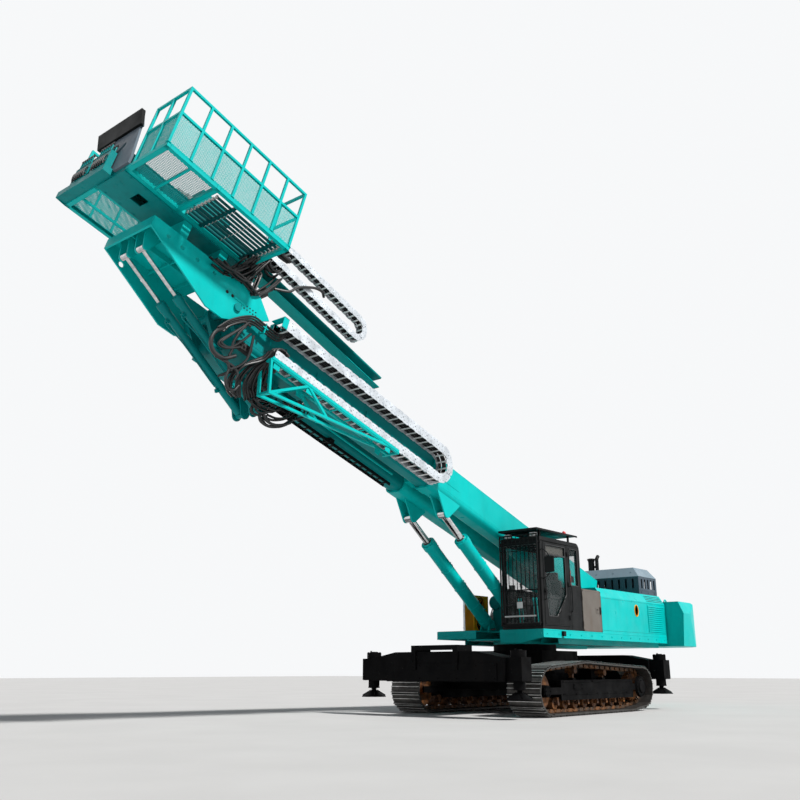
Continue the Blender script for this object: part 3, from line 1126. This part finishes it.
cover.bolts(-3.558, row(-1.1, 0.44, 6), 2.76, AHEAD, 0.012)
cover.done("upper", "slate")
STACK, CLEANER = (-4.1, -0.2), (-4.1, -0.365)
stack, bands = Kit("stack_trim"), Kit("cleaner_trim")
stack.rod("z", STACK, (3.391, 3.403), 0.085, sides=32)
stack.rod("z", STACK, (3.4, 3.43), 0.058, 0.052, 32)
for z in (3.6, 3.71):
    stack.ring((*STACK, z), UP, 0.049, 0.006)
stack.bolt_ring((*STACK, 3.403), UP, 0.072, 6, 0.008, 0.006, False)
stack.done("upper", "iron")
for z in (3.46, 3.52, 3.66):
    bands.ring((*CLEANER, z), UP, 0.083, 0.005, 40)
for k in range(20):
    c, d = cos(2 * pi * k / 20), sin(2 * pi * k / 20)
    x, y = CLEANER[0] + 0.083 * c, CLEANER[1] + 0.083 * d
    bands.beam((x, y, 3.665), (x, y, 3.7), 0.008, 0.008, 0.001, (c, d, 0))
bands.rod("z", CLEANER, (3.739, 3.752), 0.1, 0.06, 40)
bands.box((-4.13, -4.07), (-0.29, -0.24), (3.49, 3.55), 0.006)
bands.done("upper", "cab")

# Counterweight: lifting eyes on pads, front plates with bolts, lip, plugs on top
weight = Kit("counterweight_trim")
for s in BOTH:
    y = s * 1.05
    weight.hose([(-5.35, y, 2.555), (-5.35, y, 2.62), (-5.42, y, 2.665), (-5.49, y, 2.62), (-5.49, y, 2.555)],
                0.02, sides=12)
    weight.box((-5.52, -5.32), span(y, 0.06), (2.556, 2.57))
    weight.box((-4.655, -4.646), (s * 1.4, s * 1.76), (1.6, 2.2), 0.003)
    weight.bolts(-4.646, (s * 1.46, s * 1.7), (1.68, 2.12), AHEAD, 0.018)
weight.box((-6.02, -5.92), span(0, 0.62), (2.385, 2.4), 0.004, (0, radians(-19), 0))
for y in (-0.9, -0.3, 0.3, 0.9):
    weight.rod("z", (-4.9, y), (2.556, 2.575), 0.045, 0.04, 24)
weight.done("upper", "teal")

# Cooler: fins, frame, fans behind their rings, pipe
FAN_X, FAN_ZS, PIPE = 0.445, (1.9, 2.31), (0.71, -1.135)
fins, fans, header = Kit("cooler_fins"), Kit("cooler_fans"), Kit("cooler_pipe")
for z in row(1.745, 0.0225, 34):
    fins.box((0.19, 0.7), (-1.106, -1.098), (z, z + 0.005), 0.0)
for x in row(0.2, 0.0405, 13):
    fins.box((x, x + 0.01), (-1.104, -1.099), (1.74, 2.49), 0.0)
for z in (1.693, 2.497):
    fins.box((0.152, 0.738), (-1.108, -0.9), (z, z + 0.024), 0.003)
for x in (0.15, 0.712):
    fins.box((x, x + 0.028), (-1.108, -0.872), (1.7, 2.52), 0.003)
for z in FAN_ZS:
    fins.ring((FAN_X, -0.868, z), LEFT, 0.186, 0.01, 48)
    fans.rod("y", (FAN_X, z), (-0.965, -0.885), 0.056, 0.05, 28)
    for k in range(7):
        c, d = cos(2 * pi * k / 7), sin(2 * pi * k / 7)
        fans.beam((FAN_X + 0.05 * c, -0.925, z + 0.05 * d), (FAN_X + 0.168 * c, -0.925, z + 0.168 * d),
                  0.06, 0.006, 0.001, (-0.5 * d, 0.87, 0.5 * c))
    for r in row(0.06, 0.045, 3):
        fans.ring((FAN_X, -0.88, z), LEFT, r, 0.003, 40, 6)
fins.done("upper", "orange")
fans.done("upper", "cab")
header.rod("z", PIPE, (1.735, 2.505), 0.035, sides=28)
header.rod("z", PIPE, (2.5, 2.518), 0.03, 0.016, 28)
for z in (1.8, 2.44):
    header.rod("z", PIPE, span(z, 0.02), 0.042, sides=28)
header.bar((0.71, -1.12, 2.1), (0.66, -1.09, 2.1), 0.022, sides=16)
header.done("upper", "zinc")

# Oil tank's bands, filler, flange and feet; valve block with its ports and hoses
TANK = (-0.62, 2.37)
tank, valves, runs = Kit("tank_trim"), Kit("valve_block"), Kit("deck_hoses")
for x in (-0.37, 0.12):
    tank.ring((x, *TANK), AHEAD, 0.158, 0.008, 48, 6)
tank.rod("z", (-0.12, TANK[0]), (2.52, 2.575), 0.055, 0.052, 28)
tank.rod("z", (-0.12, TANK[0]), (2.57, 2.6), 0.066, 0.06, 28)
tank.rod("x", TANK, (0.25, 0.262), 0.1, sides=36)
tank.bolt_ring((0.262, *TANK), AHEAD, 0.08, 8, 0.009)
for x in (-0.43, 0.06):
    tank.box((x, x + 0.12), (-0.76, -0.48), (1.69, 1.706))
tank.done("upper", "teal_deep")
valves.box((-0.95, -0.45), (-1.22, -0.8), (1.69, 2.06), 0.01)
for k in range(6):
    x = -0.9 + 0.08 * k
    valves.box(span(x, 0.03), (-1.245, -1.21), (1.8, 1.96), 0.006)
    for y in (-1.12, -0.95):
        valves.rod("z", (x, y), (2.06, 2.1), 0.017, sides=12)
    runs.hose([(x, -1.12, 2.09), (x + 0.02, -1.11, 2.22), (x + 0.2, -1.02, 2.26 + 0.01 * k),
               (0.02 + 0.03 * k, -0.8, 2.0), (0.3, -0.7 + 0.02 * k, 1.8), (0.55, -0.56 + 0.03 * k, 1.75)],
              0.015, sides=8, steps=5)
    runs.hose([(x, -0.95, 2.09), (x + 0.01, -0.93, 2.2), (x - 0.16, -0.86, 2.28),
               (-1.3, -0.72 + 0.02 * k, 2.1), (-1.6, -0.62 + 0.03 * k, 1.84)], 0.014, sides=8, steps=5)
valves.done("upper", "iron")
runs.done("upper", "rubber")

# Deck: rim, bolts, tread pattern, clamp under the door
edge, tread, clamp = Kit("deck_rim"), Kit("deck_tread"), Kit("deck_clamp")
for s in BOTH:
    for z in ((1.664, 1.69), (1.52, 1.54)):
        edge.box((-4.6, 1.44), (s * 1.366, s * 1.3735), z, 0.002)
    edge.bolts(row(-4.45, 0.48, 13), s * 1.3735, 1.6, (0, s, 0), 0.012)
for y in ((-1.35, -0.34), (0.31, 0.39)):
    edge.box((0.86, 1.446), y, (1.689, 1.696), 0.002)
edge.bolts(1.45, row(0.36, 0.12, 9) + row(-0.38, -0.115, 9), 1.6, AHEAD, 0.012)
edge.done("upper", "teal")
for i, j in product(range(12), range(18)):
    x, y = 0.89 + 0.045 * i, -1.32 + 0.054 * j
    turn = (0, 0, radians(45 if (i + j) % 2 else -45))
    tread.box((x, x + 0.025), (y, y + 0.008), (1.695, 1.699), 0.0, turn)
tread.done("upper", "teal")
clamp.box((0.62, 0.72), (1.37, 1.43), (1.56, 1.66), 0.008)
clamp.done("upper", "cab")

# Slew ring's bolts, outriggers' collars, plates and bolts, lower frame's flanges
OUTRIGGER_XS, JACK_Y = (3.1, -3.1), 1.79
under = Kit("frame_trim")
under.bolt_ring((0, 0, 1.419), DOWN, 0.655, 36, 0.013, 0.012, False, pi / 36)
for x in OUTRIGGER_XS:
    for s in BOTH:
        cy = s * JACK_Y
        under.bolt_ring((x, cy, 1.225), UP, 0.128, 10, 0.012)
        under.rod("z", (x, cy), (1.224, 1.245), 0.075, 0.07, 32)
        for face in BOTH:
            under.bolts(x + face * 0.1705, span(cy, 0.13), (0.74, 1.04), (face, 0, 0))
        under.box(span(x, 0.16), span(cy, 0.16), (0.672, 0.684))
        under.rod("z", (x + 0.1, cy), (1.235, 1.262), 0.016, sides=12)
    for y in (-1.2, -0.4, 0.4, 1.2):
        under.box(span(x, 0.275), span(y, 0.012), (0.655, 0.672), 0.003)
under.bolts(3.384, (-0.35, 0.1, 0.55, 1.0, 1.43), (0.72, 0.96), AHEAD, 0.013)
under.bolts(3.4, (-0.51, 0.56), (0.93, 1.05, 1.17), AHEAD, 0.012)
for x, s in product((0.98, -0.98), BOTH):
    under.box(span(x, 0.225), (s * 0.9, s * 0.93), (0.5, 0.88), 0.006)
    under.bolts(row(x - 0.17, 0.17, 3), s * 0.93, (0.56, 0.82), (0, s, 0), 0.016)
under.done("undercarriage", "black")

# Jacks' pads: collar, ball's ring, ribs and bolts
for end, x in zip(("front", "rear"), OUTRIGGER_XS):
    for side, s in SIDES:
        pad, cy = Kit(f"pad_{end}_{side}"), s * JACK_Y
        pad.rod("z", (x, cy), (0.52, 0.545), 0.12, sides=48)
        pad.ring((x, cy, 0.497), UP, 0.047, 0.01)
        for k in range(4):
            c, d = cos(pi / 4 + k * pi / 2), sin(pi / 4 + k * pi / 2)
            pad.beam((x + 0.06 * c, cy + 0.06 * d, 0.475), (x + 0.235 * c, cy + 0.235 * d, 0.372),
                     0.014, 0.03)
        pad.bolt_ring((x, cy, 0.372), UP, 0.21, 4, 0.012, first=pi / 4 + 0.78)
        pad.done(f"jack_{end}_{side}", "black")

# Hoses: each has a radius in metres and a line chosen by hand, its (u, y, v) in centimetres
SWEEP = ((971, 46, -80), (951, 45, -51), (916, 45, -21), (886, 47, -20), (856, 50, -20), (846, 54, -8),
         (842, 57, 10))
COILS = (
    (0.031, ((955, 46, -66), (970, 46, -81), (973, 46, -101), (962, 46, -115), (941, 46, -114),
             (922, 46, -98))),
    (0.021, ((901, 47, -45), (898, 46, -70), (899, 46, -90), (908, 46, -108), (923, 46, -123),
             (929, 46, -117))),
    (0.021, ((919, 48, -30), (933, 48, -54), (947, 48, -77), (955, 47, -93), (938, 47, -92), (920, 46, -69),
             (907, 46, -45))),
    (0.021, ((921, 48, -35), (938, 48, -61), (959, 47, -94), (945, 47, -97), (919, 46, -79))),
    (0.021, ((922, 48, -39), (930, 48, -58), (934, 47, -79), (931, 46, -90), (932, 45, -104))),
    (0.021, ((939, 45, -112), (925, 45, -121), (925, 45, -142), (916, 45, -155), (903, 45, -152),
             (897, 45, -140))),
    (0.018, ((956, 45, -119), (939, 45, -117), (918, 45, -116), (906, 45, -123), (907, 45, -134))),
    (0.018, ((958, 47, -73), (950, 47, -57), (928, 48, -35), (913, 48, -34))),
)
FAN = (
    (0.021, ((870, 68, -60), (873, 59, -71), (888, 51, -88), (902, 42, -108), (917, 34, -125),
             (921, 25, -130))),
    (0.021, ((871, 68, -62), (877, 59, -82), (902, 50, -106), (909, 40, -129), (901, 31, -144),
             (882, 22, -145))),
    (0.021, ((870, 68, -61), (871, 57, -74), (887, 45, -99), (889, 33, -123), (873, 22, -143))),
    (0.021, ((868, 68, -61), (868, 57, -76), (876, 45, -96), (874, 33, -121), (855, 22, -137))),
    (0.021, ((867, 68, -61), (866, 57, -76), (868, 45, -94), (863, 33, -118), (847, 22, -127))),
    (0.021, ((866, 68, -61), (863, 57, -78), (859, 45, -93), (851, 33, -111), (831, 22, -122))),
    (0.021, ((864, 68, -60), (861, 57, -78), (852, 45, -92), (842, 33, -105), (825, 22, -115))),
)
WOUND = (
    (0.024, ((835, 66, -50), (847, 65, -46), (857, 64, -49), (860, 64, -58), (857, 63, -74),
             (851, 62, -92))),
    (0.024, ((834, 62, -52), (848, 61, -46), (860, 60, -50), (863, 60, -59), (860, 59, -74),
             (855, 58, -93))),
    (0.024, ((834, 58, -53), (849, 57, -47), (861, 56, -50), (865, 56, -60), (862, 55, -75),
             (856, 54, -94))),
)
LOOPS = (
    (0.021, ((838, 15, -132), (838, 14, -144), (831, 14, -149), (815, 13, -142), (803, 13, -126),
             (801, 12, -106))),
    (0.025, ((818, 12, -143), (810, 12, -152), (789, 11, -150), (766, 11, -136), (750, 11, -114),
             (742, 10, -83), (741, 10, -71))),
    (0.021, ((810, 8, -143), (794, 7, -149), (769, 6, -139), (752, 5, -125))),
    (0.021, ((780, 15, -95), (760, 12, -93), (759, 10, -115), (782, 7, -133), (805, 5, -138))),
    (0.021, ((842, 18, -136), (834, 17, -126), (814, 16, -118), (793, 16, -113), (770, 15, -96))),
    (0.019, ((845, 20, -126), (844, 19, -136), (834, 17, -139), (819, 16, -128), (814, 15, -114))),
    (0.019, ((855, 22, -137), (840, 20, -138), (821, 17, -135), (796, 14, -126), (782, 12, -106))),
    (0.015, ((753, 20, -80), (738, 20, -84), (732, 19, -93), (737, 18, -107), (752, 18, -118))),
)
UNDER = (
    (0.022, ((1022, 60, 23), (995, 56, 26), (965, 52, 34), (930, 48, 30), (914, 44, 33), (890, 40, 62))),
    (0.022, ((988, 45, 23), (965, 44, 53), (960, 63, 70), (927, 43, 119), (910, 42, 137), (890, 41, 136),
             (871, 40, 138))),
    (0.019, ((970, 45, 29), (947, 45, 58), (932, 45, 90), (921, 45, 108))),
    (0.019, ((926, 45, 26), (925, 45, 47), (924, 45, 68), (929, 45, 70))),
    (0.022, ((922, 45, 110), (911, 44, 97), (897, 43, 96), (886, 43, 109), (888, 42, 120))),
    (0.019, ((950, 45, 32), (940, 45, 52), (928, 45, 80), (913, 45, 112))),
    (0.019, ((925, 45, 25), (908, 44, 41), (888, 43, 74), (880, 42, 93))),
    (0.019, ((989, 50, 25), (970, 49, 42), (952, 47, 66), (953, 66, 70), (933, 45, 105))),
    (0.019, ((1005, 55, 34), (981, 53, 29), (959, 52, 29), (943, 50, 37))),
)
RISE = (
    (0.025, ((890, 45, 62), (864, 52, 73), (851, 53, 90), (832, 53, 105), (812, 52, 118), (793, 49, 125),
             (780, 42, 124))),
)


def metres(points, du=0.0, dy=0.0, dv=0.0):
    return [(u / 100 + du, y / 100 + dy, v / 100 + dv) for u, y, v in points]


sweep, clip = Kit("sweep_hoses", BOOM), Kit("sweep_clamp", BOOM)
for off in row(-0.057, 0.038, 4):
    sweep.hose(metres(SWEEP, 0.0, off * 0.35, off), 0.0175, sides=12, steps=8)
sweep.done("boom_extension", "rubber")
clip.box((8.846, 8.866), (0.425, 0.505), (-0.3, -0.105), 0.003)
clip.box((8.8, 8.915), (0.5, 0.512), (-0.212, -0.192), 0.003)
clip.box((8.846, 8.866), (0.33, 0.43), (-0.295, -0.275), 0.003)
for v in row(-0.287, 0.04, 5):
    clip.box((8.836, 8.876), (0.44, 0.494), span(v, 0.003), 0.001)
clip.done("boom_extension", "teal")

# Strands that run side by side in each bundle, as shifts in (u, y, v)
ONE = ((0, 0, 0),)
TWO = ((0, 0, 0), (0.03, 0.035, -0.035))
THREE = ((0, 0, 0), (0.035, -0.045, -0.025), (-0.03, -0.08, 0.04))
OUT = ((0, 0, 0), (0.035, 0.03, -0.025), (-0.03, 0.055, 0.04))
FIVE = THREE + ((0.06, -0.12, 0.03), (-0.045, -0.16, -0.03))
for name, rows, strands, body in (("coil_hoses", COILS, TWO, "boom_extension"),
                                  ("fan_hoses", FAN, THREE, "boom_extension"),
                                  ("loop_hoses", LOOPS, OUT, "boom_extension"),
                                  ("floor_hoses", UNDER, FIVE, "head"), ("rise_hoses", RISE, ONE, "head")):
    bundle = Kit(name, BOOM)
    for radius, points in rows:
        for shift in strands:
            bundle.hose(metres(points, *shift), radius, sides=9, steps=5)
    bundle.done(body, "rubber")
wound = Kit("wound_hoses", BOOM)
for radius, points in WOUND:
    wound.hose(metres(points), radius, ridges=0.22, pitch=0.026)
wound.done("boom_extension", "sheath")

# Ends of the hoses: junction blocks with fittings, and the ties that hold the bundles
ends, ties = Kit("hose_blocks", BOOM), Kit("hose_ties", BOOM)
ends.box((8.25, 8.62), (0.14, 0.36), (-1.16, -0.98), 0.008)
for u in row(8.28, 0.062, 6):
    ends.rod("z", (u, 0.22), (-1.16, -1.21), 0.021, sides=12)
    ends.rod("z", (u, 0.3), (-1.16, -1.2), 0.021, sides=12)
    ends.rod("y", (u, -1.07), (0.36, 0.39), 0.019, sides=6)
ends.box((8.9, 9.2), (0.3, 0.4), (-0.76, -0.62), 0.008)
for u in row(8.94, 0.07, 4):
    ends.rod("y", (u, -0.69), (0.4, 0.43), 0.02, sides=6)
ends.done("boom_extension", "iron")
for at, normal, r in (((8.46, 0.645, -0.475), (1, 0, 0.3), 0.062), ((8.59, 0.6, -0.66), (0.2, 0, 1), 0.07),
                      ((8.7, 0.56, -0.72), (1, 0.4, 0.6), 0.06)):
    ties.ring(at, normal, r, 0.008, 28)
ties.done("boom_extension", "cab")
